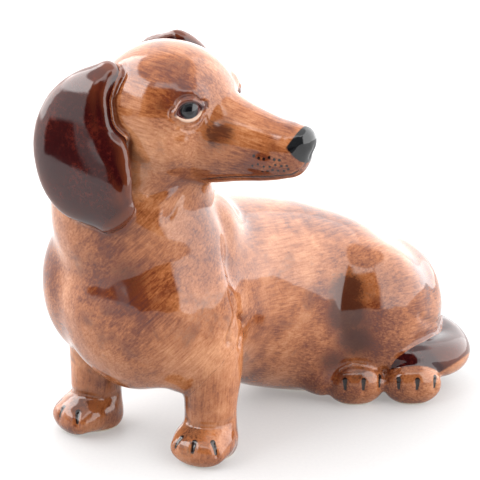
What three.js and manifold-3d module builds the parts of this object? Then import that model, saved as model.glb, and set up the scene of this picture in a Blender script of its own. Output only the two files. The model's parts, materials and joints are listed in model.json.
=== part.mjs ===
// Seated dachshund figurine in glazed earthenware: nine slip castings that are luted together before firing.
// Millimetres, +Z up. The dog's chest faces -Y, its left side is +X, and its head is turned to its left.
// Each casting is drawn as swept limbs and ellipsoids, hollowed to the cast wall, and cut back along its lute
// joint by the casting it is stuck to. The origin is on the table, under the middle of the figurine.

import * as THREE from 'three';
import { mergeVertices } from 'three/addons/utils/BufferGeometryUtils.js';
import Module from 'manifold-3d';

const wasm = await Module();
wasm.setup();

// ---------------------------------------- driving dimensions
const WALL = 4; // thickness that the slip builds up in the mould
const LEG_WALL = 3.6; // a little thinner in the narrow legs
const LEG_FLOOR = 8; // solid clay at the bottom of a foreleg
const LUTE_GAP = 0.3; // room for the slip between two castings

const SKULL = { at: [2, 1.3, 101], turn: 94 }; // turn is from -Y towards the dog's left
const VENT = { at: [22, 68], radius: 4.5 }; // drain hole in the seat
const THROAT = { radius: 8, reach: 16 }; // drain hole in the underside of the head

// Where a paw stands, as x and y, and the way its toes point, from -Y towards the dog's left, in degrees.
const LEFT_FOREPAW = [19.5, 0.7, 9];
const RIGHT_FOREPAW = [-19.5, -0.7, -20];
const LEFT_HIND_PAW = [52.5, 62.5, 32];
const RIGHT_HIND_PAW = [38, 53, 32];

const FACETS = 22; // faces around a limb or a ball
const THIN_FACETS = 14; // around the ears, paws and tail
const CORE_FACETS = 12; // around a hollow, which nobody sees
const RINGS = 9; // bands along a limb
const CAP_RINGS = 4; // bands on each rounded end
const TABLE_SIZE = 400;

const degrees = THREE.MathUtils.degToRad;

// ---------------------------------------- solids
// A closed three.js geometry as a manifold-3d solid. A sphere's poles fold to a point, so its empty faces go.
function solid(geometry) {
  const bare = geometry.index ? geometry.toNonIndexed() : geometry.clone();
  bare.deleteAttribute('normal');
  bare.deleteAttribute('uv');
  const merged = mergeVertices(bare, 1e-4);
  const corners = merged.index.array;
  const faces = [];
  for (let i = 0; i < corners.length; i += 3) {
    const [a, b, c] = corners.slice(i, i + 3);
    if (a !== b && b !== c && c !== a) faces.push(a, b, c);
  }
  const mesh = new wasm.Mesh({
    numProp: 3,
    vertProperties: merged.attributes.position.array,
    triVerts: new Uint32Array(faces),
  });
  return new wasm.Manifold(mesh);
}

const join = (...solids) => solids.reduce((all, next) => all.add(next));

// A rounded limb through stations [x, y, z, half width, half height]: a capsule bent along its spine.
// side is the direction of the width, caps says how long each rounded end is, and grow thickens the limb.
function limb(stations, { side = [1, 0, 0], caps = [1, 1], grow = 0, frame = null, facets = FACETS } = {}) {
  const spine = new THREE.CatmullRomCurve3(stations.map(([x, y, z]) => new THREE.Vector3(x, y, z)));
  const girth = new THREE.CatmullRomCurve3(stations.map(([, , , w, h]) => new THREE.Vector3(w, h, 0)));
  const capsule = new THREE.CapsuleGeometry(1, 2, CAP_RINGS, facets, RINGS);
  const place = capsule.attributes.position;
  const across = new THREE.Vector3(...side);
  for (let i = 0; i < place.count; i++) {
    const along = THREE.MathUtils.clamp(place.getY(i), -1, 1);
    const beyond = place.getY(i) - along;
    const u = (along + 1) / 2;
    const tangent = spine.getTangent(u);
    const wide = across.clone().addScaledVector(tangent, -across.dot(tangent)).normalize();
    const high = wide.clone().cross(tangent);
    const radius = girth.getPoint(u);
    const end = caps[beyond < 0 ? 0 : 1] * (Math.min(radius.x, radius.y) + grow);
    const point = spine
      .getPoint(u)
      .addScaledVector(tangent, beyond * end)
      .addScaledVector(wide, place.getX(i) * (radius.x + grow))
      .addScaledVector(high, place.getZ(i) * (radius.y + grow));
    place.setXYZ(i, point.x, point.y, point.z);
  }
  if (frame) capsule.applyMatrix4(frame);
  return solid(capsule);
}

// An ellipsoid: its centre, its three radii, a lean about its own X and then a turn about +Z, in degrees.
function ball([x, y, z], [rx, ry, rz], { turn = 0, lean = 0, grow = 0, frame = null, facets = FACETS } = {}) {
  const sphere = new THREE.SphereGeometry(1, facets, facets / 2);
  sphere.scale(rx + grow, ry + grow, rz + grow);
  sphere.rotateX(degrees(lean));
  sphere.rotateZ(degrees(turn));
  sphere.translate(x, y, z);
  if (frame) sphere.applyMatrix4(frame);
  return solid(sphere);
}

// An upright round pin for cutting a drain hole, from a low to a high level.
function pin(x, y, low, high, radius) {
  const cylinder = new THREE.CylinderGeometry(radius, radius, high - low, FACETS);
  cylinder.rotateX(Math.PI / 2);
  cylinder.translate(x, y, (low + high) / 2);
  return solid(cylinder);
}

// Everything above a level.
function above(level) {
  const box = new THREE.BoxGeometry(TABLE_SIZE, TABLE_SIZE, TABLE_SIZE);
  box.translate(0, 0, level + TABLE_SIZE / 2);
  return solid(box);
}

const onTable = (form) => form.intersect(above(0));

// ---------------------------------------- torso, with the neck, shoulders and haunches
const trunkStations = [
  [-1, -6, 43, 25, 25],
  [0, 12, 42, 25.5, 28.6],
  [3, 32, 38, 24.5, 28.2],
  [10, 52, 30.5, 24.5, 29.8],
  [20.5, 70, 24, 25.5, 28.4],
  [30.5, 83, 21, 24.5, 23],
];
const neckStations = [
  [-1, 4, 48, 25, 22],
  [-5, -1, 68, 24, 20.5],
  [-5, 0, 84, 19, 18],
  [-1, 1, 94, 15, 15],
];

function torsoForm({ grow = 0, facets = FACETS } = {}) {
  const same = { grow, facets };
  const tucked = { grow, facets: THIN_FACETS };
  return join(
    limb(trunkStations, { caps: [0.62, 0.8], ...same }),
    limb(neckStations, { caps: [0.3, 0.5], ...same }),
    ball([13, 1, 40], [14, 15, 24], same), // left shoulder
    ball([-19.5, 0.5, 44.5], [15, 16, 23], same), // right shoulder
    ball([6, 10, 56], [16, 20, 19], { lean: -20, ...tucked }), // shoulder blades
    ball([-15, 9, 57], [12.5, 18, 18], { lean: -20, ...tucked }),
    ball([5.5, 0, 79], [13, 16, 14], tucked), // throat
    ball([28, 50, 8], [7, 7, 7.5], tucked), // left knee
    ball([36.5, 68, 24], [16, 19.5, 25], { turn: -25, lean: 14, ...same }), // left haunch
    ball([37.5, 76.5, 20.5], [16, 16, 21.5], { turn: -25, ...tucked }), // left rump
    ball([5, 78, 22], [16, 20, 21], { turn: -12, lean: 8, ...same }) // right haunch
  );
}

// ---------------------------------------- head, in its own frame: +X forward, +Y its left
const headFrame = new THREE.Matrix4().makeRotationZ(degrees(SKULL.turn - 90)).setPosition(...SKULL.at);

const muzzleStations = [
  [6, 0, -6.4, 14, 16],
  [18, 0, -8.6, 12, 14],
  [27, 0, -9.7, 9.6, 11.1],
  [35, 0, -10.3, 8, 9.2],
  [41, 0, -10.1, 7.2, 7.8],
];

const mirrored = ([x, y, z], radii, options) => [1, -1].map((side) => ball([x, y * side, z], radii, options));

// The skull, muzzle and cheeks, which the hollow follows too.
function headShape({ grow = 0, facets = FACETS } = {}) {
  const same = { grow, facets, frame: headFrame };
  return join(
    ball([4, 0, -3], [20.5, 19.5, 18.7], same),
    limb(muzzleStations, { side: [0, 1, 0], caps: [0.6, 0.8], ...same }),
    ...mirrored([6, 10, -8.5], [14, 8.5, 12], same) // cheeks
  );
}

// The brows, the corners of the jaw, the lips and the nose stand on it.
function headForm(grow = 0) {
  const same = { grow, facets: THIN_FACETS, frame: headFrame };
  return join(
    headShape({ grow }),
    ...mirrored([13.6, 8, 2.6], [8, 6.6, 6], same),
    ...mirrored([0, 12, -15], [12, 7, 10], same),
    ...mirrored([34, 4.2, -12.5], [9, 4.2, 4.2], same),
    ball([44.2, 0, -7.5], [4, 5, 4.6], same)
  );
}

// ---------------------------------------- ears, in the head's frame, from root to tip
const earTip = [
  [-10.9, 21.4, -10, 14.4, 4.3],
  [-7.2, 22.4, -17.5, 15, 4.3],
  [-2.6, 22.6, -23.5, 12, 4.2],
  [1, 22, -28, 7.5, 3.6],
];
const leftEarStations = [
  [3.2, 15, 10.2, 8, 3.4],
  [-5.4, 18.4, 5, 10.4, 4],
  [-10.5, 20.2, -3, 12.6, 4.3],
  ...earTip,
];
const rightEarStations = [
  [-4.8, -14.6, 8.4, 4.2, 3.2],
  [-8.6, -18.2, 4, 7.8, 4],
  [-11.2, -20.2, -3, 11.9, 4.3],
  ...earTip.map(([x, y, ...rest]) => [x, -y, ...rest]),
];
const earForm = (stations) => limb(stations, { facets: THIN_FACETS, frame: headFrame });

// ---------------------------------------- legs and paws
// The side of a paw, and places along it from its heel to its toes.
function pawLine(x, y, toes) {
  const reach = degrees(toes);
  return {
    side: [Math.cos(reach), Math.sin(reach), 0],
    ahead: (distance) => [x + distance * Math.sin(reach), y - distance * Math.cos(reach)],
  };
}

const legForm = ([x, y], { grow = 0, facets = THIN_FACETS } = {}) =>
  limb(
    [
      [x, y + 0.5, 3, 8, 8.2],
      [x, y + 0.5, 14, 7.7, 7.8],
      [x * 0.97, y + 2, 26, 8.8, 10],
      [x * 0.9, y + 3, 38, 9, 11],
    ],
    { caps: [0.7, 0.5], grow, facets }
  );

function forepawForm(paw) {
  const { side, ahead } = pawLine(...paw);
  return limb(
    [
      [...ahead(-1), 5.4, 8.4, 6.6],
      [...ahead(4), 5.2, 9.2, 6.6],
      [...ahead(8.5), 4.2, 8.6, 5],
    ],
    { side, caps: [0.8, 0.9], facets: THIN_FACETS }
  );
}

function hindPawForm(paw, grow = 0) {
  const { side, ahead } = pawLine(...paw);
  return limb(
    [
      [...ahead(-16), 7, 8, 8],
      [...ahead(-7), 7.6, 9.2, 9.4],
      [...ahead(0), 5.8, 9.2, 7.2],
    ],
    { side, caps: [0.6, 0.75], grow, facets: THIN_FACETS }
  );
}

// ---------------------------------------- tail, beside the rump with its tip on the paws
const tailForm = limb(
  [
    [36, 87, 13, 8, 10],
    [46.5, 87.5, 12, 7.4, 10],
    [53.4, 82.3, 10.8, 7, 9],
    [54.6, 74.5, 11.2, 6.8, 8.2],
    [50, 66.5, 12.6, 6.2, 6.8],
    [44.5, 61, 14, 4.8, 4.6],
  ],
  { side: [0, 0, 1], caps: [0.6, 1], facets: THIN_FACETS }
);

// ---------------------------------------- castings, cut along their lute joints
const torsoClear = torsoForm({ grow: LUTE_GAP });
const headClear = headForm(LUTE_GAP);

// The torso is drained through the seat, and its neck ends in a cup that the head sits in.
const torso = onTable(torsoForm())
  .subtract(torsoForm({ grow: -WALL, facets: CORE_FACETS }).intersect(above(WALL)))
  .subtract(pin(...VENT.at, -WALL, 2 * WALL, VENT.radius))
  .subtract(headClear);

// The head is drained downwards, into the neck.
const [skullX, skullY, skullZ] = SKULL.at;
const head = headForm()
  .subtract(headShape({ grow: -WALL, facets: CORE_FACETS }))
  .subtract(pin(skullX, skullY, skullZ - 2 * THROAT.reach, skullZ - THROAT.reach / 2, THROAT.radius));

const ear = (stations) => earForm(stations).subtract(headClear).subtract(torsoClear);

function foreleg(paw) {
  const bore = legForm(paw, { grow: -LEG_WALL, facets: CORE_FACETS }).intersect(above(LEG_FLOOR));
  return onTable(join(legForm(paw), forepawForm(paw))).subtract(bore).subtract(torsoClear);
}

const leftHindPaw = onTable(hindPawForm(LEFT_HIND_PAW)).subtract(torsoClear);
const rightHindPaw = onTable(hindPawForm(RIGHT_HIND_PAW))
  .subtract(torsoClear)
  .subtract(hindPawForm(LEFT_HIND_PAW, LUTE_GAP));
const tail = [LEFT_HIND_PAW, RIGHT_HIND_PAW].reduce(
  (form, paw) => form.subtract(hindPawForm(paw, LUTE_GAP)),
  onTable(tailForm).subtract(torsoClear)
);

// ---------------------------------------- the figurine
const clayGlaze = new THREE.MeshStandardMaterial({ color: 0xb5764f, roughness: 0.12, metalness: 0 });
const oxbloodGlaze = new THREE.MeshStandardMaterial({ color: 0x4a1418, roughness: 0.1, metalness: 0 });

const figurine = new THREE.Group();

// Adds a casting as a named mesh. Trimming can leave loose crumbs, so only its largest body is kept.
function cast(name, form, glaze) {
  const [body] = form.decompose().sort((a, b) => b.volume() - a.volume());
  const { vertProperties, triVerts } = body.getMesh();
  const geometry = new THREE.BufferGeometry();
  geometry.setAttribute('position', new THREE.BufferAttribute(vertProperties, 3));
  geometry.setIndex(new THREE.BufferAttribute(triVerts, 1));
  const mesh = new THREE.Mesh(geometry, glaze);
  mesh.name = name;
  figurine.add(mesh);
}

cast('torso_casting', torso, clayGlaze);
cast('head_casting', head, clayGlaze);
cast('left_ear', ear(leftEarStations), oxbloodGlaze);
cast('right_ear', ear(rightEarStations), oxbloodGlaze);
cast('left_foreleg', foreleg(LEFT_FOREPAW), clayGlaze);
cast('right_foreleg', foreleg(RIGHT_FOREPAW), clayGlaze);
cast('left_hind_paw', leftHindPaw, clayGlaze);
cast('right_hind_paw', rightHindPaw, clayGlaze);
cast('tail', tail, oxbloodGlaze);

const extent = new THREE.Box3().setFromObject(figurine);
const middle = extent.getCenter(new THREE.Vector3());
figurine.position.set(-middle.x, -middle.y, -extent.min.z);

export default figurine;
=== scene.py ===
import json
import math

import bmesh
import bpy
import numpy as np
from mathutils import Matrix, Vector
from mathutils.bvhtree import BVHTree

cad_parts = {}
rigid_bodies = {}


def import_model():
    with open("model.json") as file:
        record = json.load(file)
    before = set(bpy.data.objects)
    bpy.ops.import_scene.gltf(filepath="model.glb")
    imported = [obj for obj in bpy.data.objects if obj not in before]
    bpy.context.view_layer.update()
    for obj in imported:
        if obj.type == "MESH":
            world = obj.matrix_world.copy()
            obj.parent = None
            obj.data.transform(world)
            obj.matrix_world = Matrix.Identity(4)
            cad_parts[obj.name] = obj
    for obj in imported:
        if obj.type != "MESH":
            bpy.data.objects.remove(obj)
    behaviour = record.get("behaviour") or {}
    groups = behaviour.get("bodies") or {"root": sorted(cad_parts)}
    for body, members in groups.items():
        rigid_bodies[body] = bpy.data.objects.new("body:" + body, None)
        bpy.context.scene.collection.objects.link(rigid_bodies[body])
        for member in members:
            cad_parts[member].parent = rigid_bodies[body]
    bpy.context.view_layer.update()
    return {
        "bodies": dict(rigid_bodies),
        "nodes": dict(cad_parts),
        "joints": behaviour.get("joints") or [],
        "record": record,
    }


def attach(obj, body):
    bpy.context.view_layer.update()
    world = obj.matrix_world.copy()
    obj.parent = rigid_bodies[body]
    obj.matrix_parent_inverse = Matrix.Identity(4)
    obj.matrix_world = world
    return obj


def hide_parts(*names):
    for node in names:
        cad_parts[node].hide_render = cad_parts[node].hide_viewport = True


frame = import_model()

# A seated dachshund in glazed earthenware. Its nine castings are luted together, fettled until the joints
# are gone, carved, painted under the glaze and fired, so the clay is modelled as one body and parted at the
# lute lines at the end. The clay is worked in millimetres, from the drawing's own origin.
BENCH_ORIGIN = Vector((-14.308, -38.913, 0))  # that origin, from the middle of the dog's footprint


# ------------------------------------------------------------------ camera
# Stands at the dog's left front, a little above its eye line, with a long lens.
def stand_camera(azimuth, elevation, distance, aim, width_seen):
    """Looks at aim, in millimetres, from the given angles; width_seen is the width of the view there."""
    data = bpy.data.cameras.new("camera")
    data.lens = data.sensor_width * distance / width_seen
    data.clip_start = 0.01
    data.clip_end = 20
    camera = bpy.data.objects.new("camera", data)
    bpy.context.scene.collection.objects.link(camera)
    turn, rise = math.radians(azimuth), math.radians(elevation)
    back = Vector((math.sin(turn) * math.cos(rise), -math.cos(turn) * math.cos(rise), math.sin(rise)))
    camera.location = (BENCH_ORIGIN + Vector(aim) + back * distance) / 1000
    camera.rotation_euler = (-back).to_track_quat("-Z", "Y").to_euler()
    bpy.context.scene.camera = camera


stand_camera(azimuth=32, elevation=18, distance=450, aim=(8.5, 34.3, 52), width_seen=141.18)


# ------------------------------------------------------------------ torso
# The largest casting: trunk, neck, shoulders and haunches, slip-cast hollow but made solid here, with a
# drain and vent hole in the seat.
FINE = 0.75  # size of the clay's mesh, in millimetres


def through(stations, u):
    """Where a smooth line through the stations is at each u from 0 to 1, and its direction there."""
    known = np.asarray(stations, float)
    known = np.vstack([2 * known[0] - known[1], known, 2 * known[-1] - known[-2]])
    place = np.clip(u, 0, 1) * (len(known) - 3)
    first = np.minimum(place.astype(int), len(known) - 4)
    t = (place - first)[:, None]
    a, b, c, d = (known[first + i] for i in range(4))
    point = b + (c - a) * t / 2 + (2 * a - 5 * b + 4 * c - d) * t**2 / 2 + (3 * b - a - 3 * c + d) * t**3 / 2
    slope = (c - a) / 2 + (2 * a - 5 * b + 4 * c - d) * t + (3 * b - a - 3 * c + d) * t**2 * 1.5
    slope = slope[:, :3]
    return point, slope / np.linalg.norm(slope, axis=1, keepdims=True)


def places(clay):
    """A bmesh's vertex places as an array."""
    return np.array([v.co for v in clay.verts])


def put(clay, spots):
    """Moves a bmesh's vertices to their new places."""
    for vertex, spot in zip(clay.verts, spots):
        vertex.co = spot
    clay.normal_update()
    return clay


def limb(stations, side=(1, 0, 0), caps=(1, 1), grow=0.0, frame=None):
    """A ball drawn out through stations of x, y, z, half width and half height into a rounded limb."""
    clay = bmesh.new()
    bmesh.ops.create_uvsphere(clay, u_segments=48, v_segments=72, radius=1)
    ball = places(clay)
    share = 0.2  # of the ball, from pole to pole, that makes each rounded end
    along = np.arccos(np.clip(-ball[:, 2], -1, 1)) / math.pi
    u = np.clip((along - share) / (1 - 2 * share), 0, 1)
    tilt = np.clip(np.minimum(along, 1 - along) / share, 0, 1) * math.pi / 2
    beyond = np.cos(tilt) * np.where(along < 0.5, -caps[0], caps[1])
    around = np.arctan2(ball[:, 1], ball[:, 0])
    station, tangent = through(stations, u)
    across = np.asarray(side, float)
    wide = across - tangent * (tangent @ across)[:, None]
    wide /= np.linalg.norm(wide, axis=1, keepdims=True)
    high = np.cross(wide, tangent)
    girth = np.maximum(station[:, 3:5] + grow, 0.1)
    spot = station[:, :3] + tangent * (beyond * girth.min(1))[:, None]
    spot += wide * (np.cos(around) * np.sin(tilt) * girth[:, 0])[:, None]
    spot += high * (np.sin(around) * np.sin(tilt) * girth[:, 1])[:, None]
    put(clay, spot)
    if frame:
        bmesh.ops.transform(clay, matrix=frame, verts=clay.verts)
    bmesh.ops.recalc_face_normals(clay, faces=clay.faces)
    return clay


def ball(at, radii, turn=0, lean=0, grow=0.0, frame=None):
    """An ellipsoid of clay, leant about its own X and then turned about the upright, in degrees."""
    clay = bmesh.new()
    bmesh.ops.create_icosphere(clay, subdivisions=4, radius=1)
    shape = Matrix.Translation(at) @ Matrix.Rotation(math.radians(turn), 4, "Z")
    shape = shape @ Matrix.Rotation(math.radians(lean), 4, "X")
    shape = shape @ Matrix.Diagonal((*(r + grow for r in radii), 1))
    bmesh.ops.transform(clay, matrix=(frame or Matrix()) @ shape, verts=clay.verts)
    return clay


def lump(*pieces):
    """Several closed bodies as one object, still overlapping."""
    mesh = bpy.data.meshes.new("clay")
    whole = bmesh.new()
    for clay in pieces:
        clay.to_mesh(mesh)
        clay.free()
        whole.from_mesh(mesh)
    whole.to_mesh(mesh)
    whole.free()
    piece = bpy.data.objects.new("clay", mesh)
    bpy.context.scene.collection.objects.link(piece)
    return piece


def finished(piece):
    """The object with its modifiers made real."""
    shown = piece.evaluated_get(bpy.context.evaluated_depsgraph_get())
    mesh = bpy.data.meshes.new_from_object(shown)
    piece.modifiers.clear()
    piece.data = mesh
    return piece


def knead(pieces, size, rounds, smoothing=0):
    """Presses overlapping bodies into one skin of even mesh, and rubs it down without losing its bulk."""
    whole = bmesh.new()
    for piece in pieces:
        whole.from_mesh(piece.data)
        bpy.data.objects.remove(piece)
    mesh = bpy.data.meshes.new("clay")
    whole.to_mesh(mesh)
    whole.free()
    piece = bpy.data.objects.new("clay", mesh)
    bpy.context.scene.collection.objects.link(piece)
    skin = piece.modifiers.new("skin", "REMESH")
    skin.mode = "VOXEL"
    skin.voxel_size = size
    for turn in range(2 * rounds):
        rub = piece.modifiers.new("rub", "SMOOTH")
        rub.factor = -0.52 if turn % 2 else 0.5
        rub.iterations = 1
    if smoothing:
        sponge = piece.modifiers.new("sponge", "SUBSURF")
        sponge.levels = smoothing
        sponge.render_levels = smoothing
    return finished(piece)


TRUNK = [
    (-1, -6, 43, 25, 25),
    (0, 12, 42, 25.5, 28.6),
    (3, 32, 38, 24.5, 28.2),
    (10, 52, 30.5, 24.5, 29.8),
    (20.5, 70, 24, 25.5, 28.4),
    (30.5, 83, 21, 24.5, 23),
]
NECK = [(-1, 4, 48, 25, 22), (-5, -1, 68, 24, 20.5), (-5, 0, 84, 19, 18), (-1, 1, 94, 15, 15)]
SNUG = -0.3  # the fettled clay stays a hair inside the drawing

# Muscles and joints laid over the trunk and neck: place, radii, turn and lean.
MUSCLES = [
    ((13, 1, 40), (14, 15, 24), 0, 0),  # shoulders
    ((-19.5, 0.5, 44.5), (15, 16, 23), 0, 0),
    ((6, 10, 56), (16, 20, 19), 0, -20),  # shoulder blades
    ((-15, 9, 57), (12.5, 18, 18), 0, -20),
    ((5.5, 0, 79), (13, 16, 14), 0, 0),  # throat
    ((28, 50, 8), (7, 7, 7.5), 0, 0),  # left knee
    ((36.5, 68, 24), (16, 19.5, 25), -25, 14),  # left haunch and rump
    ((37.5, 76.5, 20.5), (16, 16, 21.5), -25, 0),
    ((5, 78, 22), (16, 20, 21), -12, 8),  # right haunch
]


def torso_form(grow):
    return [
        limb(TRUNK, caps=(0.62, 0.8), grow=grow),
        limb(NECK, caps=(0.3, 0.5), grow=grow),
        *(ball(at, radii, turn=turn, lean=lean, grow=grow) for at, radii, turn, lean in MUSCLES),
    ]


BROAD = 2.8  # the torso is scraped so smooth that its muscles only show as soft swellings
SCRAPING = 26
torso = knead([lump(*torso_form(SNUG))], BROAD, SCRAPING, smoothing=2)

# ------------------------------------------------------------------ head
# A casting of its own, slip-cast hollow but made solid here, turned to the dog's left: skull, long tapering
# muzzle, cheeks, brows and nose.
HEAD_FRAME = Matrix.Translation((2, 1.3, 101)) @ Matrix.Rotation(math.radians(4), 4, "Z")
MUZZLE = [
    (6, 0, -6.4, 14, 16),
    (18, 0, -8.6, 12, 14),
    (27, 0, -9.7, 9.6, 11.1),
    (35, 0, -10.3, 8, 9.2),
    (41, 0, -10.1, 7.2, 7.8),
]


def both(at, radii, **rest):
    """A ball on each side of the face."""
    return [ball((at[0], side * at[1], at[2]), radii, **rest) for side in (1, -1)]


def head_form(grow=0.0):
    same = {"grow": grow, "frame": HEAD_FRAME}
    return [
        ball((4, 0, -3), (20.5, 19.5, 18.7), **same),  # skull
        limb(MUZZLE, side=(0, 1, 0), caps=(0.6, 0.8), **same),
        *both((6, 10, -8.5), (14, 8.5, 12), **same),  # cheeks
        *both((13.6, 8, 2.6), (8, 6.6, 6), **same),  # brows
        *both((34, 4.2, -12.5), (9, 4.2, 4.2), **same),  # lips
        *both((0, 12, -15), (12, 7, 10), **same),  # jaw
        ball((44.2, 0, -7.5), (4, 5, 4.6), **same),  # nose
    ]


head = knead([lump(*head_form(SNUG))], 0.9, 8)

# ------------------------------------------------------------------ ears
# Long leather-like flaps pressed from solid clay and luted high on the skull.
EAR_TIP = [
    (-10.9, 21.4, -10, 14.4, 4.3),
    (-7.2, 22.4, -17.5, 15, 4.3),
    (-2.6, 22.6, -23.5, 12, 4.2),
    (1, 22, -28, 7.5, 3.6),
]
LEFT_EAR = [(3.2, 15, 10.2, 8, 3.4), (-5.4, 18.4, 5, 10.4, 4), (-10.5, 20.2, -3, 12.6, 4.3), *EAR_TIP]
RIGHT_EAR = [(-4.8, -14.6, 8.4, 4.2, 3.2), (-8.6, -18.2, 4, 7.8, 4), (-11.2, -20.2, -3, 11.9, 4.3)]
RIGHT_EAR += [(x, -y, z, wide, thick) for x, y, z, wide, thick in EAR_TIP]


def ear_form(stations, grow=0.0):
    return limb(stations, grow=grow, frame=HEAD_FRAME)


ears = [lump(ear_form(LEFT_EAR, SNUG)), lump(ear_form(RIGHT_EAR, SNUG))]

# ------------------------------------------------------------------ forelegs
# Short cast legs on round paws, luted under the shoulders. A paw's place is x, y and the way its toes point.
LEFT_FOREPAW = (19.5, 0.7, 9)
RIGHT_FOREPAW = (-19.5, -0.7, -20)


def ahead(paw, distance):
    """The x and y of a place in front of a paw's own."""
    reach = math.radians(paw[2])
    return paw[0] + distance * math.sin(reach), paw[1] - distance * math.cos(reach)


def across(paw):
    """The way across a paw, to its left."""
    reach = math.radians(paw[2])
    return math.cos(reach), math.sin(reach), 0


def foreleg_form(paw, grow=0.0):
    x, y, _ = paw
    ankle = [(x, y + 0.5, 3, 8, 8.2), (x, y + 0.5, 14, 7.7, 7.8)]
    elbow = [(x * 0.97, y + 2, 26, 8.8, 10), (x * 0.9, y + 3, 38, 9, 11)]
    instep = [(*ahead(paw, -1), 5.4, 8.4, 6.6), (*ahead(paw, 4), 5.2, 9.2, 6.6)]
    toes = (*ahead(paw, 8.5), 4.2, 8.6, 5)
    leg = limb([*ankle, *elbow], caps=(0.7, 0.5), grow=grow)
    return [leg, limb([*instep, toes], side=across(paw), caps=(0.8, 0.9), grow=grow)]


forelegs = [knead([lump(*foreleg_form(paw, SNUG))], 0.9, 5) for paw in (LEFT_FOREPAW, RIGHT_FOREPAW)]

# ------------------------------------------------------------------ hind paws
# Both hind feet come out in front of the left haunch, because the hips are rolled to one side.
LEFT_HIND_PAW = (52.5, 62.5, 32)
RIGHT_HIND_PAW = (38, 53, 32)


def hind_paw_form(paw, grow=0.0):
    foot = [(*ahead(paw, -16), 7, 8, 8), (*ahead(paw, -7), 7.6, 9.2, 9.4), (*ahead(paw, 0), 5.8, 9.2, 7.2)]
    return limb(foot, side=across(paw), caps=(0.6, 0.75), grow=grow)


hind_paws = [lump(hind_paw_form(paw, SNUG)) for paw in (LEFT_HIND_PAW, RIGHT_HIND_PAW)]

# ------------------------------------------------------------------ tail
# A tapering roll of clay beside the rump, with its tip resting on the hind paws.
TAIL = [
    (36, 87, 13, 8, 10),
    (46.5, 87.5, 12, 7.4, 10),
    (53.4, 82.3, 10.8, 7, 9),
    (54.6, 74.5, 11.2, 6.8, 8.2),
    (50, 66.5, 12.6, 6.2, 6.8),
    (44.5, 61, 14, 4.8, 4.6),
]


def tail_form(grow=0.0):
    return limb(TAIL, side=(0, 0, 1), caps=(0.6, 1), grow=grow)


TAIL_SNUG = SNUG - 0.2  # the tail reaches the furthest to the side, so it is kept slimmer still
tail = lump(tail_form(TAIL_SNUG))

# ------------------------------------------------------------------ luting and fettling
# Slip squeezed out of the joints is worked into small fillets, and the soles are rubbed flat on the table.
body = knead([torso, head, *ears, *forelegs, *hind_paws, tail], FINE, 4)


class Skin:
    """The surface of the clay while it is worked."""

    def __init__(self, piece):
        self.mesh = piece.data
        self.at = np.empty((len(self.mesh.vertices), 3))
        self.mesh.vertices.foreach_get("co", self.at.ravel())
        edges = np.empty((len(self.mesh.edges), 2), int)
        self.mesh.edges.foreach_get("vertices", edges.ravel())
        self.near = np.concatenate([edges[:, 0], edges[:, 1]])
        self.far = np.concatenate([edges[:, 1], edges[:, 0]])
        self.degree = np.bincount(self.near, minlength=len(self.at))
        self.settle()

    def settle(self):
        """Brings the mesh, its normals and the tree that finds places on it up to date."""
        self.mesh.vertices.foreach_set("co", self.at.ravel())
        self.mesh.update()
        self.out = np.empty((len(self.at), 3))
        self.mesh.vertex_normals.foreach_get("vector", self.out.ravel())
        clay = bmesh.new()
        clay.from_mesh(self.mesh)
        self.tree = BVHTree.FromBMesh(clay)
        clay.free()

    def average(self, values):
        """The mean of each vertex's neighbours."""
        columns = [np.bincount(self.near, column[self.far], len(self.at)) for column in values.T]
        return np.stack(columns, 1) / self.degree[:, None]

    def soften(self, spot, reach, rounds):
        """Rubs the clay round a place with a wet sponge."""
        share = 0.5 * np.exp(-((np.linalg.norm(self.at - spot, axis=1) / reach) ** 4))[:, None]
        for _ in range(rounds):
            self.at += (self.average(self.at) - self.at) * share

    def on(self, spot):
        """The nearest place on the skin."""
        return np.array(self.tree.find_nearest(Vector(spot))[0])

    def hit(self, origin, direction):
        """Where a line from inside the clay comes out."""
        return np.array(self.tree.ray_cast(Vector(origin), Vector(direction))[0])

    def laid(self, path):
        """A path laid on the skin as a fine smooth line."""
        path = np.array([self.on(spot) for spot in path])
        if len(path) < 3:
            return path
        return through(path, np.linspace(0, 1, 6 * len(path)))[0]

    def away(self, path, reach=9.0):
        """How far each vertex is from a line, up to reach, and how far along the line it is, from 0 to 1."""
        best = np.full(len(self.at), reach)
        along = np.zeros(len(self.at))
        for step in range(len(path) - 1):
            start, run = path[step], path[step + 1] - path[step]
            close = (np.abs(self.at - start) < reach + np.linalg.norm(run)).all(1).nonzero()[0]
            from_start = self.at[close] - start
            t = np.clip(from_start @ run / max(run @ run, 1e-9), 0, 1)
            gap = np.linalg.norm(from_start - t[:, None] * run, axis=1)
            closer = gap < best[close]
            best[close[closer]] = gap[closer]
            along[close[closer]] = (step + t[closer]) / (len(path) - 1)
        return best, along

    def carve(self, path, width, depth):
        """Draws a round tool along the path, fading at its ends. A negative depth lays on a coil."""
        gap, along = self.away(self.laid(path))
        fade = np.clip(np.minimum(along, 1 - along) * 6 + 0.15, 0, 1)
        self.at -= self.out * (depth * fade * np.exp(-((gap / width) ** 2)))[:, None]

    def press(self, spot, reach, depth):
        """A thumb's dent, or with a negative depth a dab of clay."""
        gap = np.linalg.norm(self.at - self.on(spot), axis=1)
        self.at -= self.out * (depth * np.exp(-((gap / reach) ** 2)))[:, None]


def mirrored(path):
    return [(-x, y, z) for x, y, z in path]


def on_head(path, side=1):
    """A path in the head's own frame, as places on the bench; side -1 takes it across the face."""
    return [HEAD_FRAME @ Vector((x, side * y, z)) for x, y, z in path]


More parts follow.
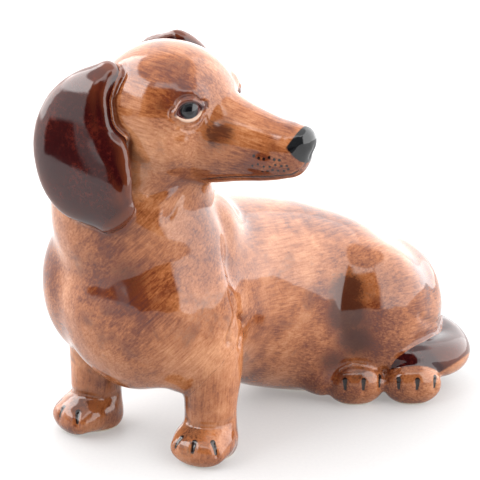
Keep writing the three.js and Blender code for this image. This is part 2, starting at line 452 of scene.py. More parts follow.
def divided(piece, chosen):
    """Splits the faces whose middles are chosen in four, so that finer work can be cut there."""
    clay = bmesh.new()
    clay.from_mesh(piece.data)

    def taken():
        middles = np.array([face.calc_center_median() for face in clay.faces])
        return [face for face, take in zip(clay.faces, chosen(middles)) if take]

    edges = {edge for face in taken() for edge in face.edges}
    bmesh.ops.subdivide_edges(clay, edges=list(edges), cuts=1, use_grid_fill=True)
    corners = {corner for face in taken() for corner in face.verts}
    for _ in range(2):
        bmesh.ops.smooth_vert(
            clay, verts=list(corners), factor=0.5, use_axis_x=True, use_axis_y=True, use_axis_z=True
        )
    clay.to_mesh(piece.data)
    clay.free()


def within(spots, reach):
    """A test that picks what lies within reach of any of the places."""
    spots = np.array([tuple(spot) for spot in spots])
    return lambda middles: (np.linalg.norm(middles[:, None] - spots[None], axis=2) < reach).any(1)


FACE = on_head([(16, 0, 0), (24, 0, -8), (32, 0, -9), (40, 0, -9)])
EYES = on_head([(18.6, -12.8, 0), (18.6, 12.8, 0)])
divided(body, within(FACE, 15))
PAWS = (LEFT_FOREPAW, RIGHT_FOREPAW, LEFT_HIND_PAW, RIGHT_HIND_PAW)
divided(body, within([(x, y - 5, 6) for x, y, _ in PAWS], 13))
divided(body, within(EYES, 6.5))
skin = Skin(body)

# ------------------------------------------------------------------ body creases
# Folds at the throat, shoulders, elbows and haunches, drawn with a wooden tool while the clay is
# leather-hard. First the back, the haunch and the neck are sponged smooth where their muscles meet.
skin.soften((27, 68, 49), 13, 150)
skin.soften((41, 76, 41), 10, 150)
skin.soften((12, -2, 79), 12, 60)
skin.soften((-12, 4, 84), 11, 40)
skin.settle()
THROAT = [(9.7, -15.1, 77.4), (13.6, -13.2, 78.8), (18.3, -7, 80.3), (20, 2, 80)]
UNDER_JAW = [(14.1, -12.3, 70.7), (15.2, -10, 73), (16.8, -8.6, 76.2), (18.3, -6.9, 79.3)]
skin.carve(THROAT, 1.3, 0.6)
skin.carve(UNDER_JAW, 1.1, 0.5)
SHOULDER = [(18.1, 9, 70.2), (20.6, 9, 66.9), (22.4, 8.6, 63), (22.8, 7.4, 58.3), (23.8, 5.3, 54.2)]
SHOULDER += [(25.4, 4.4, 47)]
ELBOW_FRONT = [(25.4, 1.4, 49.8), (26.3, 3.9, 42.2), (26.5, 0.1, 37.1), (26.2, -0.5, 34)]
ELBOW_BACK = [(26.3, 3.9, 42.2), (24.8, 10.1, 37.6), (26.2, 6.2, 34.6), (26.8, 4.1, 31)]
for side in (list, mirrored):
    skin.carve(side(SHOULDER), 2.6, 0.7)
    skin.carve(side(ELBOW_FRONT), 0.8, 0.7)
    skin.carve(side(ELBOW_BACK), 0.8, 0.7)
HAUNCH = [(33.5, 55.5, 42), (33, 51, 36), (33.4, 49, 30), (34.7, 49, 25), (37, 51.5, 19)]
ABOVE_TAIL = [(50, 66, 27), (51.5, 72, 23), (50, 84, 18)]
BREAST = [(4.3, -20.4, 34.4), (7.3, -19.6, 33), (12.3, -17.4, 31.3)]
LEFT_ANKLE = [(17.4, -6.5, 10.5), (21.1, -6.4, 10.8), (25.9, -2.7, 10.9), (27, 3, 11.5)]
RIGHT_ANKLE = [(-27, -3, 10.8), (-25.2, -5.4, 10.8), (-18, -7.6, 11.4), (-12.9, -3.4, 10.4), (-12, 2, 11)]
skin.carve(HAUNCH, 2.6, 0.5)
skin.carve(ABOVE_TAIL, 1.2, 0.6)
skin.carve(BREAST, 0.9, 0.25)
skin.carve(LEFT_ANKLE, 1.2, 0.6)
skin.carve(RIGHT_ANKLE, 1.2, 0.6)

# ------------------------------------------------------------------ ear edges
# The flaps lie on the cheeks, with a tooled groove in front of them and a narrow rolled hem down their
# front edges.
def in_head(spots):
    """Places on the bench, in the head's own frame."""
    turned = np.array(HEAD_FRAME.inverted())
    return spots @ turned[:3, :3].T + turned[:3, 3]


def shape_distance(piece, reach=9.0):
    """How far outside a form every place of the skin is, negative inside, up to a reach in millimetres."""
    clay = bmesh.new()
    clay.from_mesh(piece.data)
    tree = BVHTree.FromBMesh(clay)
    corners = np.array([v.co for v in clay.verts])
    clay.free()
    bpy.data.objects.remove(piece)
    distance = np.full(len(skin.at), reach)
    close = ((skin.at > corners.min(0) - 2.5) & (skin.at < corners.max(0) + 2.5)).all(1).nonzero()[0]
    for place in close:
        spot = Vector(skin.at[place])
        found, facing, _, gap = tree.find_nearest(spot)
        distance[place] = gap if (spot - found).dot(facing) > 0 else -gap
    return distance


def from_low(line, level, values):
    """Values along an ear, which hangs down, read off at each level."""
    return np.interp(level, line[::-1, 2], values[::-1])


HEM_AT = 2.9  # from the front edge
HEM_GROOVE = 0.25
CHEEK_GROOVE = 0.5
skin.settle()
for stations in (LEFT_EAR, RIGHT_EAR):
    forward, left, level = in_head(skin.at).T
    side = 1 if stations is LEFT_EAR else -1
    line, _ = through(stations, np.linspace(0, 1, 60))
    edge = from_low(line, level, line[:, 0] + line[:, 3] * 0.97)
    middle = from_low(line, level, line[:, 1])
    from_ear = shape_distance(lump(ear_form(stations, SNUG)))
    outside = np.clip((left - middle) * side + 1.5, 0, 1)
    outside *= np.clip((level + 27) / 4, 0, 1) * np.clip((9 - level) / 3, 0, 1)
    hem = np.exp(-(((edge - forward - HEM_AT) / 0.8) ** 2)) * (from_ear < 1.0) * outside
    in_front = np.clip((forward - edge + 4) / 3, 0, 1) * np.clip((level + 30) / 5, 0, 1)
    groove = np.exp(-(((from_ear - 0.9) / 0.8) ** 2)) * (from_ear > -0.6) * in_front
    skin.at -= skin.out * (CHEEK_GROOVE * groove + HEM_GROOVE * hem)[:, None]
skin.settle()
RIGHT_EAR_FRONT = HEAD_FRAME @ Vector((2.5, -24, -7))
skin.soften(RIGHT_EAR_FRONT, 4.5, 30)

# ------------------------------------------------------------------ face
# Small bulging eyes between carved lids, long closed lips and a nose that is split below, all tooled by
# hand. Each eye's middle is given on the head, and the opening between its lids slants a little.
EYE = (18.6, -12.8, 0)


def eye_axes(side):
    """The eye's middle, and its directions along the lids, up, and out of the head."""
    out = Vector((0.72, -0.69 * side, 0.08)).normalized()
    along = Vector((0.69, 0.72 * side, 0.04))
    along = (along - out * along.dot(out)).normalized()
    up = out.cross(along) * side
    middle = np.array(skin.on(on_head([EYE], side)[0]))
    turned = [np.array(HEAD_FRAME.to_3x3() @ axis) for axis in (along, up, out)]
    return middle, turned


def eye_place(side):
    """Where each place lies along the slanting lids, across them, and out from the eye's middle."""
    middle, (along, up, out) = eye_axes(side)
    from_middle = skin.at - middle + along * 0.35 - up * 0.25
    u, w = from_middle @ along, from_middle @ up
    slant = math.radians(9)
    level, steep = math.cos(slant), math.sin(slant)
    return u * level + w * steep, w * level - u * steep, from_middle @ out


def lid_gap(u, w, length=3.4, upper=2.2, lower=2.0):
    """How far outside the opening between the lids a place is, in millimetres; negative inside."""
    open_by = np.where(w > 0, upper, lower) * np.clip(1 - (u / length) ** 2, 0, 1) ** 0.7
    return np.where(np.abs(u) < length, np.abs(w) - open_by, np.hypot(np.abs(u) - length, w))


for side in (1, -1):
    skin.press(on_head([(23.5, -9, -1.5)], side)[0], 3.6, 0.8)
skin.settle()
for side in (1, -1):  # the eyeball, the lids round it, the fold above them and the pouch below
    u, w, depth = eye_place(side)
    gap = lid_gap(u, w)
    beside = np.abs(depth) < 5
    ball_rise = 0.45 + 0.2 * u - 0.95 * (np.hypot(u, w) / 2.6) ** 2
    inside = np.clip(-gap / 0.35, 0, 1)
    rise = inside * np.maximum(ball_rise, -0.9)
    rise += (1 - inside) * np.where(w > 0, 0.45, 0.35) * np.exp(-(((gap - 0.55) / 0.7) ** 2))
    rise -= np.where(w > -0.5, 0.35, 0.15) * np.exp(-(((gap - 1.75) / 0.4) ** 2)) * (gap > 0)
    rise -= 0.25 * np.exp(-(((gap - 3.1) / 0.55) ** 2)) * (w < 0) * (np.abs(u) < 4.5)
    skin.at += skin.out * (rise * beside)[:, None]

# The mouth, as how far forward and how many degrees up from the middle of the underside.
MOUTH = [(18, 34), (23, 34), (28, 34), (33, 34), (37, 34), (40.5, 34), (43.5, 32)]


def mouth_line(side, higher=0):
    """The line between the lips, from the corner to under the nose."""
    line = []
    for forward, angle in MOUTH:
        swing = math.radians(angle + higher)
        away = HEAD_FRAME.to_3x3() @ Vector((0, side * math.sin(swing), -math.cos(swing)))
        line.append(skin.hit(HEAD_FRAME @ Vector((forward, 0, -10)), away))
    return [*line, on_head([(46.2, 1.2, -12.4)], side)[0]]


for side in (1, -1):
    skin.carve(mouth_line(side), 0.5, 0.35)
    skin.carve(mouth_line(side, 10), 0.9, -0.2)
NOSE_SPLIT = [(48.6, 0, -8), (47.6, 0, -10.5), (45.8, 0, -12)]
skin.carve(on_head(NOSE_SPLIT), 0.45, 0.25)
skin.soften(HEAD_FRAME @ Vector((40, 0, -10)), 4, 2)

# ------------------------------------------------------------------ toes
# Four short toes on each paw, parted by strokes of a wooden tool that run down from the top of the paw.
skin.settle()


def toe_line(x, y, bearing, levels):
    """Where lines from inside a paw come out at each level."""
    way = math.radians(bearing)
    return [skin.hit((x, y, level), (math.sin(way), -math.cos(way), 0)) for level in levels]


def toe_grooves():
    """The lines between the toes of all four paws, from the top of the paw down to the sole."""
    lines = []
    for paw, angles in ((LEFT_FOREPAW, (-42, 2, 50)), (RIGHT_FOREPAW, (-50, -4, 48))):
        for angle in angles:
            lines.append(toe_line(*ahead(paw, 5), paw[2] + angle, (8, 6.8, 5.4, 4)))
    for paw, offsets in ((LEFT_HIND_PAW, (-4.6, 1.0, 6.6)), (RIGHT_HIND_PAW, (-3.4, 2.2, 7.4))):
        for offset in offsets:
            x, y = ahead(paw, -4)
            sideways = across(paw)
            x, y = x + offset * sideways[0], y + offset * sideways[1]
            lines.append(toe_line(x, y, paw[2], (9.2, 7.8, 6.2, 4.6)))
    return lines


TOES = toe_grooves()
for line in TOES:
    skin.carve(line, 0.8, 0.45)
skin.settle()


# ------------------------------------------------------------------ soles
# The feet and the seat are rubbed flat on wet glass, so the dog stands level.
def sole_cut(piece):
    """Cuts away what is below the table, and closes the flat soles."""
    clay = bmesh.new()
    clay.from_mesh(piece.data)
    every = clay.verts[:] + clay.edges[:] + clay.faces[:]
    cut = bmesh.ops.bisect_plane(clay, geom=every, plane_co=(0, 0, 0), plane_no=(0, 0, -1), clear_outer=True)
    rim = [part for part in cut["geom_cut"] if isinstance(part, bmesh.types.BMEdge)]
    bmesh.ops.holes_fill(clay, edges=rim, sides=0)
    bmesh.ops.triangulate(clay, faces=[face for face in clay.faces if len(face.verts) > 4])
    clay.to_mesh(piece.data)
    clay.free()


sole_cut(body)
skin = Skin(body)

# ------------------------------------------------------------------ underglaze painting
# Places on the biscuit where the painter changes colour, and where shade and highlight are painted in, kept
# with the clay as distances in millimetres.
PALE = 9.0  # further than any mark reaches


def on_biscuit(name, values):
    """Keeps a value for every place of the clay."""
    field = body.data.attributes.new(name, "FLOAT", "POINT")
    field.data.foreach_set("value", values.astype(np.float32))


def mark(paths, broad, fine=None):
    """How far every place is from a set of brush marks that taper from broad to fine, in half widths."""
    fine = broad if fine is None else fine
    nearest = np.full(len(skin.at), PALE)
    for path in paths:
        gap, along = skin.away(skin.laid(path), reach=PALE)
        nearest = np.minimum(nearest, gap - (broad + (fine - broad) * along))
    return nearest


claws = mark([line[:3] for line in TOES], 0.75, 0.45)
lips = mark([mouth_line(side) for side in (1, -1)], 0.3, 0.4)
# Rows of whisker dots: level, where the row starts, how many dots, their pitch and half width.
WHISKERS = [(-11.2, 34.2, 6, 1.4, 0.45), (-13.2, 33.8, 7, 1.6, 0.38), (-15.2, 36.4, 6, 1.5, 0.4)]
whiskers = np.full(len(skin.at), PALE)
for level, start, count, pitch, size in WHISKERS:
    for hair in range(count):
        spot = (start + pitch * hair, 7.5, level + 0.35 * math.sin(2.1 * hair + level))
        for side in (1, -1):
            dot = skin.on(on_head([spot], side)[0])
            whiskers = np.minimum(whiskers, np.linalg.norm(skin.at - dot, axis=1) - size)
on_biscuit("ink", np.minimum(np.minimum(claws, lips), whiskers))

lids = np.full(len(skin.at), PALE)
iris = np.full(len(skin.at), PALE)
corner = np.full(len(skin.at), PALE)
above_iris = np.zeros(len(skin.at))
for side in (1, -1):
    u, w, depth = eye_place(side)
    beside = np.abs(depth) < 5
    gap = np.where(beside, lid_gap(u, w), PALE)
    here = gap < np.minimum(lids, 6)
    lids[here] = gap[here]
    iris[here] = np.hypot(u - 0.1, w - 0.15)[here]
    corner[here] = (np.hypot((u - 4.1) / 1.5, (w - 0.2) / 1.1) - 1)[here]
    above_iris[here] = w[here]
on_biscuit("lids", lids)
on_biscuit("iris", iris)
on_biscuit("corner", corner)
on_biscuit("above_iris", above_iris)

forward, left, level = in_head(skin.at).T
pad = (np.hypot(left / 6.3, (level + 7.9) / 5) - 1) * 5
pad = np.maximum(pad, 42.4 + 0.5 * np.abs(level + 8.3) - forward)
on_biscuit("nose", np.where(forward > 36, pad, PALE))
NOSTRIL = [(43.2, 5.6, -8.6), (44.4, 5, -8)]
on_biscuit("nostril", mark([on_head(NOSTRIL, side) for side in (1, -1)], 0.5, 0.3))

# The ears and the top of the tail are dipped in oxblood.
leather = np.full(len(skin.at), PALE)
for stations in (LEFT_EAR, RIGHT_EAR):
    leather = np.minimum(leather, shape_distance(lump(ear_form(stations, SNUG))))
tail_paint = shape_distance(lump(tail_form(SNUG)))
x, y, z = skin.at.T
tail_paint = np.maximum(tail_paint, (x - 55) * 0.35 + (7 - z) * 0.5)
on_biscuit("dip", np.minimum(leather, tail_paint))

# Darker washes of colour, partly painted shade along the haunch crease, round the eyes, beside the nose and
# over the paws: place, reach and strength. Those on the face come on both sides of it.
FACE_WASHES_AND_SHADE = [
    ((25, -9.5, -5.5), 5.4, 0.95),
    ((39, -6, -8), 2.4, 0.5),
    ((12, -16.5, 1.5), 3.2, 0.6),
]
BODY_WASHES_AND_SHADE = [
    ((8, -22, 56), 8, 0.8),
    ((36, 50, 37), 6.5, 1.1),
    ((36.5, 49, 30), 6.5, 1.4),
    ((38, 51, 22), 7, 1.0),
    ((35, 46, 14), 6, 0.9),
    ((-19, -8, 9), 7, 0.8),
    ((20, -8, 8), 7, 0.7),
    ((42, 50, 12), 6, 0.7),
    ((55, 60, 12), 6, 0.5),
]
washes_and_shade = list(BODY_WASHES_AND_SHADE)
for spot, reach, strength in FACE_WASHES_AND_SHADE:
    for side in (1, -1):
        washes_and_shade.append((skin.on(on_head([spot], side)[0]), reach, strength))
wash = np.zeros(len(skin.at))
for spot, reach, strength in washes_and_shade:
    gap = np.linalg.norm(skin.at - spot, axis=1)
    wash = np.maximum(wash, strength * np.exp(-((gap / reach) ** 2)))
on_biscuit("wash", wash)

# Glaze runs off the ridges and gathers in the folds; the folds are also darkened as painted shade and the
# ridges lightened as painted highlight.
hollow = np.zeros(len(skin.at))
for span in (6, 24):
    worked = skin.at.copy()
    for _ in range(span):
        worked += (skin.average(worked) - worked) * 0.8
    hollow += ((worked - skin.at) * skin.out).sum(1) / math.sqrt(span)
for _ in range(3):
    hollow += (skin.average(hollow[:, None])[:, 0] - hollow) * 0.5
on_biscuit("hollow", hollow)

# ------------------------------------------------------------------ parting at the lute joints
# The nine castings part again where they were luted. Slip keeps their glaze in one skin, so the shading of
# the whole body is carried over to each of them and no joint shows. The torso drains through its seat.
def cut(piece, tool, how):
    """Cuts a closed piece with another, which stays."""
    blade = piece.modifiers.new("wire", "BOOLEAN")
    blade.solver = "MANIFOLD"
    blade.operation = how
    blade.object = tool
    return finished(piece)


def twin(piece):
    """A second piece of the same clay."""
    copy = piece.copy()
    copy.data = piece.data.copy()
    bpy.context.scene.collection.objects.link(copy)
    return copy


def drop_crumbs(piece):
    """Keeps the largest body of a cut piece, and drops the loose slivers round it."""
    clay = bmesh.new()
    clay.from_mesh(piece.data)
    loose = set(clay.verts)
    bodies = []
    while loose:
        reached = [loose.pop()]
        whole = list(reached)
        while reached:
            beside = [edge.other_vert(vertex) for vertex in reached for edge in vertex.link_edges]
            reached = [vertex for vertex in dict.fromkeys(beside) if vertex in loose]
            loose.difference_update(reached)
            whole += reached
        bodies.append(whole)
    bodies.sort(key=len)
    for crumb in bodies[:-1]:
        bmesh.ops.delete(clay, geom=crumb, context="VERTS")
    clay.to_mesh(piece.data)
    clay.free()


def cutter(clay, *spared):
    """A wire cutter in the shape of a casting's form, a little larger, that spares other forms."""
    tool = knead([lump(*clay)], 1.0, 1)
    for form in spared:
        cut(tool, form, "DIFFERENCE")
    return tool


AROUND = 1.2  # millimetres of slip that go with a cut casting
FILLET = 0.7  # how far a cut keeps off the casting that it is luted to
torso_core = knead([lump(*torso_form(FILLET))], BROAD, SCRAPING, smoothing=1)
head_core = knead([lump(*head_form(FILLET))], 1.2, 2)
rest = twin(body)
castings = {}
tools = {
    "left_ear": cutter([ear_form(LEFT_EAR, AROUND)], head_core, torso_core),
    "right_ear": cutter([ear_form(RIGHT_EAR, AROUND)], head_core, torso_core),
    "tail": cutter([tail_form(AROUND)], torso_core),
    "left_hind_paw": cutter([hind_paw_form(LEFT_HIND_PAW, AROUND)], torso_core),
    "right_hind_paw": cutter([hind_paw_form(RIGHT_HIND_PAW, AROUND)], torso_core),
    "left_foreleg": cutter(foreleg_form(LEFT_FOREPAW, AROUND), torso_core),
    "right_foreleg": cutter(foreleg_form(RIGHT_FOREPAW, AROUND), torso_core),
    "head_casting": cutter(head_form(AROUND)),
}
for name, tool in tools.items():
    castings[name] = cut(twin(rest), tool, "INTERSECT")
    rest = cut(rest, tool, "DIFFERENCE")
    bpy.data.objects.remove(tool)

VENT = (22, 68, 0)
VENT_RADIUS = 4.5
VENT_DEPTH = 12
pin = bmesh.new()
bmesh.ops.create_cone(
    pin, cap_ends=True, segments=64, radius1=VENT_RADIUS, radius2=VENT_RADIUS, depth=2 * VENT_DEPTH
)
bmesh.ops.translate(pin, vec=VENT, verts=pin.verts)
drill = lump(pin)
castings["torso_casting"] = cut(rest, drill, "DIFFERENCE")
bpy.data.objects.remove(drill)


def show(piece, name):
    """Cleans a casting, carries the whole body's shading over to it and sets it on the table in metres."""
    piece.name = "glazed_" + name
    drop_crumbs(piece)
    group = piece.vertex_groups.new(name="skin")
    outside = [v.index for v in piece.data.vertices if skin.tree.find_nearest(v.co, 0.05)[0] is not None]
    group.add(outside, 1, "REPLACE")
    for face in piece.data.polygons:
        face.use_smooth = True
    shading = piece.modifiers.new("shading", "DATA_TRANSFER")
    shading.object = body
    shading.use_loop_data = True
    shading.data_types_loops = {"CUSTOM_NORMAL"}
    shading.loop_mapping = "POLYINTERP_NEAREST"
    shading.vertex_group = "skin"
    finished(piece)
    piece.vertex_groups.clear()
    piece.data.transform(Matrix.Scale(0.001, 4) @ Matrix.Translation(BENCH_ORIGIN))
    piece.data.materials.clear()
    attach(piece, "root")
    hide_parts(name)


for face in body.data.polygons:
    face.use_smooth = True
for name, piece in castings.items():
    show(piece, name)
for clay in (body, torso_core, head_core):
    bpy.data.objects.remove(clay)


# ------------------------------------------------------------------ glazes
# Underglaze colours are dragged over the biscuit with a flat brush and sponged, and one clear glossy glaze
# covers everything but the soles. The ears and the tail take a dip of oxblood as well.
class Wire:
    """A socket of a material that can be reckoned with like a number."""

    def __init__(self, tree, socket=None):
        self.tree = tree
        self.socket = socket

    def node(self, kind, settings, inputs, out=0):
        """A node with its settings and the values or links of its sockets."""
        made = self.tree.nodes.new(kind)
        for name, value in settings.items():
            if name == "stops":
                stops = made.color_ramp.elements
                while len(stops) < len(value):
                    stops.new(0.5)
                for stop, (place, colour) in zip(stops, value):
                    stop.position = place
                    stop.color = (*colour, 1)
            else:
                setattr(made, name, value)
        for name, value in inputs.items():
            if isinstance(value, Wire):
                self.tree.links.new(value.socket, made.inputs[name])
            else:
                made.inputs[name].default_value = value
        return Wire(self.tree, made.outputs[out]) if len(made.outputs) else None

    def maths(self, operation, *values):
        return self.node("ShaderNodeMath", {"operation": operation}, dict(enumerate(values)))

    def __add__(self, other):
        return self.maths("ADD", self, other)

    __radd__ = __add__

    def __sub__(self, other):
        return self.maths("SUBTRACT", self, other)

    def __rsub__(self, other):
        return self.maths("SUBTRACT", other, self)

    def __mul__(self, other):
        return self.maths("MULTIPLY", self, other)

    __rmul__ = __mul__

    def rise(self, low, high):
        """0 below low, 1 above high and smooth between; with low above high it falls instead."""
        if low > high:
            return 1 - self.rise(high, low)
        settings = {"interpolation_type": "SMOOTHSTEP"}
        return self.node("ShaderNodeMapRange", settings, {"Value": self, "From Min": low, "From Max": high})

    def field(self, name):
        """What was kept on the biscuit under a name."""
        return self.node("ShaderNodeAttribute", {"attribute_name": name}, {}, out=2)

    def along(self, direction):
        """How far a place lies in a direction."""
        settings = {"operation": "DOT_PRODUCT"}
        return self.node("ShaderNodeVectorMath", settings, {0: self, 1: direction}, out=1)

    def noise(self, scale, detail=3.0, roughness=0.5, distortion=0.0):
        inputs = {"Vector": self, "Scale": scale, "Detail": detail}
        inputs |= {"Roughness": roughness, "Distortion": distortion}
        return self.node("ShaderNodeTexNoise", {}, inputs)

    def over(self, under, colour):
        """Lays a colour over another where this mask is 1."""
        if not isinstance(colour, Wire):
            colour = (*colour, 1)
        if not isinstance(under, Wire):
            under = (*under, 1)
        return self.node("ShaderNodeMix", {"data_type": "RGBA"}, {0: self, 6: under, 7: colour}, out=2)


def brushed(place, along, offset):
    """Hair-fine streaks that a flat brush leaves in one direction, from 0 to 1."""
    direction = Vector(along).normalized()
    across = direction.orthogonal().normalized()
    third = direction.cross(across)
    stretched = place.node(
        "ShaderNodeCombineXYZ",
        {},
        {
            0: place.along(direction) * 0.13 + offset,
            1: place.along(across) * 1.7,
            2: place.along(third) * 1.7,
        },
    )
    return stretched.noise(1.0, 4.0, 0.6, 0.25)


# The colours in the pots, from the palest ground to the darkest line, and the bare clay of the soles.
CREAM = (0.51, 0.232, 0.112)
FOX = (0.285, 0.094, 0.032)
RUST = (0.13, 0.030, 0.010)
PLUM = (0.062, 0.017, 0.014)
# The wash and pool colours also serve as painted shade in creases and folds.
WASH_AND_SHADE = (0.05, 0.012, 0.006)
POOL_AND_SHADE = (0.10, 0.018, 0.004)
OXBLOOD = (0.022, 0.0012, 0.0016)
BRICK = (0.075, 0.009, 0.005)
INK = (0.003, 0.003, 0.004)
IRIS_GREY = (0.018, 0.019, 0.021)
NOSE_BLACK = (0.009, 0.0095, 0.0105)
EYE_MAROON = (0.075, 0.012, 0.010)
LID_BROWN = (0.08, 0.028, 0.022)
LID_CREAM = (0.50, 0.34, 0.25)
LASH = (0.03, 0.008, 0.007)
EYE_CORNER = (0.05, 0.017, 0.018)
BISCUIT = (0.62, 0.56, 0.44)


def glazed(name, dipped):
    material = bpy.data.materials.new(name)
    material.use_nodes = True
    tree = material.node_tree
    tree.nodes.clear()
    pen = Wire(tree)
    bench = pen.node("ShaderNodeTexCoord", {}, {}, out=3)
    place = pen.node("ShaderNodeVectorMath", {"operation": "SCALE"}, {0: bench, "Scale": 1000.0})
    level = place.along((0, 0, 1))
    aft = place.along((0, 1, 0))

    chest = brushed(place, (0.62, 0.38, 0.68), 3.0)
    flank = brushed(place, (0.12, 0.98, -0.12), 11.0)
    face = brushed(place, (0.98, 0.1, -0.2), 23.0)
    shin = brushed(place, (0.1, 0.05, 1), 31.0)
    behind = (aft + level * 0.15).rise(-22.0, -6.0)
    streak = chest + (flank - chest) * behind
    on_skull = level.rise(76.0, 86.0)
    streak = streak + (face - streak) * on_skull
    streak = streak + (shin - streak) * (level.rise(34.0, 24.0) * (1 - aft.rise(-24.0, -14.0)) * 0.7)
    broad = place.noise(0.045, 3.0, 0.5, 0.4)
    sponge = place.noise(0.21, 5.0, 0.68, 0.6)
    grain = place.noise(1.9, 4.0, 0.7)
    tone = 0.555 - on_skull * 0.03 + (streak - 0.5) * 0.45 + (broad - 0.5) * 0.8
    tone = tone + (sponge - 0.5) * 0.3 + (grain - 0.5) * 0.2
    shades = [(0.3, PLUM), (0.43, RUST), (0.56, FOX), (0.78, CREAM)]
    coat = tone.node("ShaderNodeValToRGB", {"stops": shades}, {0: tone})
    plum = place.noise(0.075, 4.0, 0.65, 0.8)
    coat = ((plum + (streak - 0.5) * 0.35).rise(0.55, 0.72) * 0.55).over(coat, PLUM)
    hollow = pen.field("hollow")
    # Darker paint washes, which also paint shade into the creases round the eyes, the haunch and the paws.
    wash = pen.field("wash") * (0.45 + streak * 0.9) + (sponge - 0.5) * 0.6 + (streak - 0.5) * 0.5
    coat = (wash.rise(0.3, 0.8) * 0.9).over(coat, WASH_AND_SHADE)
    # Painted shade in the folds and painted highlight on the ridges, along with the glaze pooling and
    # thinning there.
    coat = (hollow.rise(0.035, 0.22) * 0.85).over(coat, POOL_AND_SHADE)
    coat = (hollow.rise(-0.04, -0.16) * 0.25).over(coat, CREAM)

    rough = 0.06 + grain * 0.03
    if dipped:
        speckle = place.noise(0.9, 5.0, 0.72, 0.3)
        cloud = place.noise(0.13, 3.0, 0.5)
        mottle = (speckle - 0.5) * 0.8 + (cloud - 0.5) * 0.5 + 0.5
        dark = mottle.rise(0.46, 0.78).over(OXBLOOD, BRICK)
        # The ridges of the oxblood are lighter: glaze breaking there, and painted highlight.
        dark = (hollow.rise(-0.02, -0.2) * 0.7).over(dark, RUST)
        coat = pen.field("dip").rise(0.6, 0.1).over(coat, dark)
    lids = pen.field("lids")
    iris = pen.field("iris")
    up = pen.field("above_iris")
    shade = iris.rise(0.9, 1.25).over(INK, IRIS_GREY)
    shade = iris.rise(2.15, 2.4).over(shade, EYE_MAROON)
    rim = up.rise(0.0, -0.9).over(LID_BROWN, LID_CREAM)
    coat = (lids.rise(1.0, 0.6) * 0.85).over(coat, rim)
    coat = (pen.field("corner").rise(0.35, -0.25) * 0.8).over(coat, EYE_CORNER)
    coat = (lids.rise(0.55, 0.1) * up.rise(-0.8, 0.6)).over(coat, LASH)
    coat = lids.rise(0.05, -0.15).over(coat, shade)
    coat = pen.field("nose").rise(0.15, -0.25).over(coat, NOSE_BLACK)
    coat = pen.field("nostril").rise(0.1, -0.3).over(coat, INK)
    ink = pen.field("ink")
    coat = (ink.rise(0.12, -0.14) * 0.95).over(coat, INK)
    sole = (level + (grain - 0.5) * 0.5).rise(0.75, 0.35)
    coat = sole.over(coat, BISCUIT)
    rough = rough + sole * 0.6

    wave = place.noise(0.22, 2.0, 0.4) * 0.5 + grain * 0.012
    bump = pen.node("ShaderNodeBump", {}, {"Strength": 0.35, "Distance": 0.0002, "Height": wave})
    shader = pen.node(
        "ShaderNodeBsdfPrincipled",
        {},
        {"Base Color": coat, "Roughness": rough, "IOR": 1.52, "Normal": bump},
    )
    pen.node("ShaderNodeOutputMaterial", {}, {"Surface": shader})
    return material


coat_glaze = glazed("painted_coat", dipped=False)
oxblood_glaze = glazed("painted_oxblood", dipped=True)
for name, piece in castings.items():
    dipped = name in ("left_ear", "right_ear", "tail")
    piece.data.materials.append(oxblood_glaze if dipped else coat_glaze)

# ------------------------------------------------------------------ table and light tent
# A pale table in a white tent, with large panels at the right and behind, a strip high at the left and a
# dark opening in front, where the camera looks in.
bpy.context.scene.view_settings.view_transform = "Standard"
world = bpy.data.worlds.new("tent")
bpy.context.scene.world = world
world.use_nodes = True
tree = world.node_tree
tree.nodes.clear()
pen = Wire(tree)
ray = pen.node("ShaderNodeTexCoord", {}, {}, out=0)
height = ray.along((0, 0, 1)).maths("ARCSINE", ray.along((0, 0, 1))) * (180 / math.pi)
bearing = ray.maths("ARCTAN2", ray.along((1, 0, 0)), ray.along((0, -1, 0))) * (180 / math.pi)


def panel(left, right, low, high, soft=2.0):
    """1 where a panel stands, between two bearings from the dog's front and two heights, in degrees."""
    wide = bearing.rise(left - soft, left + soft) * bearing.rise(right + soft, right - soft)
    return wide * (height.rise(low - soft, low + soft) * height.rise(high + soft, high - soft))


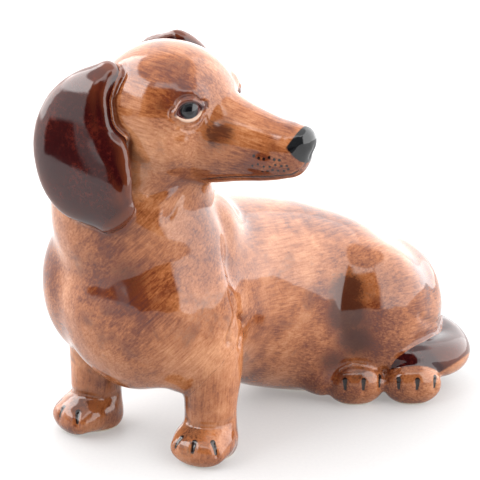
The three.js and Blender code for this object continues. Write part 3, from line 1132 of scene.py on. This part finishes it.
light = 1.6 + panel(-12, 60, -60, 47) * -1.55 + panel(-54, -24, -60, 7) * -1.5
light = light + panel(-24, -12, -60, 7) * -0.8
light = light + panel(64, 185, -40, 58, 4) * 2.5
light = light + panel(-185, -100, -40, 60, 8) * 1.4
light = light + panel(-112, -14, 26, 54) * 5.6
light = light + panel(0, 60, 49, 58) * 2.2
light = light + panel(-100, -66, 4, 26) * 3.5
seen = pen.node("ShaderNodeLightPath", {}, {}, out=0)
strength = light + (1.0 - light) * seen
background = pen.node("ShaderNodeBackground", {}, {"Color": (1, 1, 1, 1), "Strength": strength})
pen.node("ShaderNodeOutputWorld", {}, {"Surface": background})

paper = bpy.data.materials.new("table_paper")
paper.use_nodes = True
tree = paper.node_tree
tree.nodes.clear()
pen = Wire(tree)
fibre = pen.node("ShaderNodeTexCoord", {}, {}, out=3).noise(900.0, 3.0)
white = fibre.rise(0.2, 0.8).over((0.30, 0.30, 0.305), (0.32, 0.32, 0.32))
glow = {"Emission Color": (1, 0.97, 0.95, 1), "Emission Strength": 0.3}
shader = pen.node("ShaderNodeBsdfPrincipled", {}, {"Base Color": white, "Roughness": 0.6, **glow})
pen.node("ShaderNodeOutputMaterial", {}, {"Surface": shader})


def table_top(name, left, right, front, back, level):
    """A sheet of paper between two x and two y places, in metres."""
    clay = bmesh.new()
    bmesh.ops.create_grid(clay, x_segments=1, y_segments=1, size=0.5)
    placed = Matrix.Translation(((left + right) / 2, (front + back) / 2, level))
    placed = placed @ Matrix.Diagonal((right - left, back - front, 1, 1))
    bmesh.ops.transform(clay, matrix=placed, verts=clay.verts)
    mesh = bpy.data.meshes.new(name)
    clay.to_mesh(mesh)
    clay.free()
    mesh.materials.append(paper)
    sheet = bpy.data.objects.new(name, mesh)
    bpy.context.scene.collection.objects.link(sheet)
    return sheet


# The glaze mirrors the sheet that the dog stands on and, past its edges, the tent.
table_top("table", -0.6, 0.8, -1.6, 0.6, 0)
table_top("far_table", -3, 3, -3, 3, -0.0002).visible_glossy = False
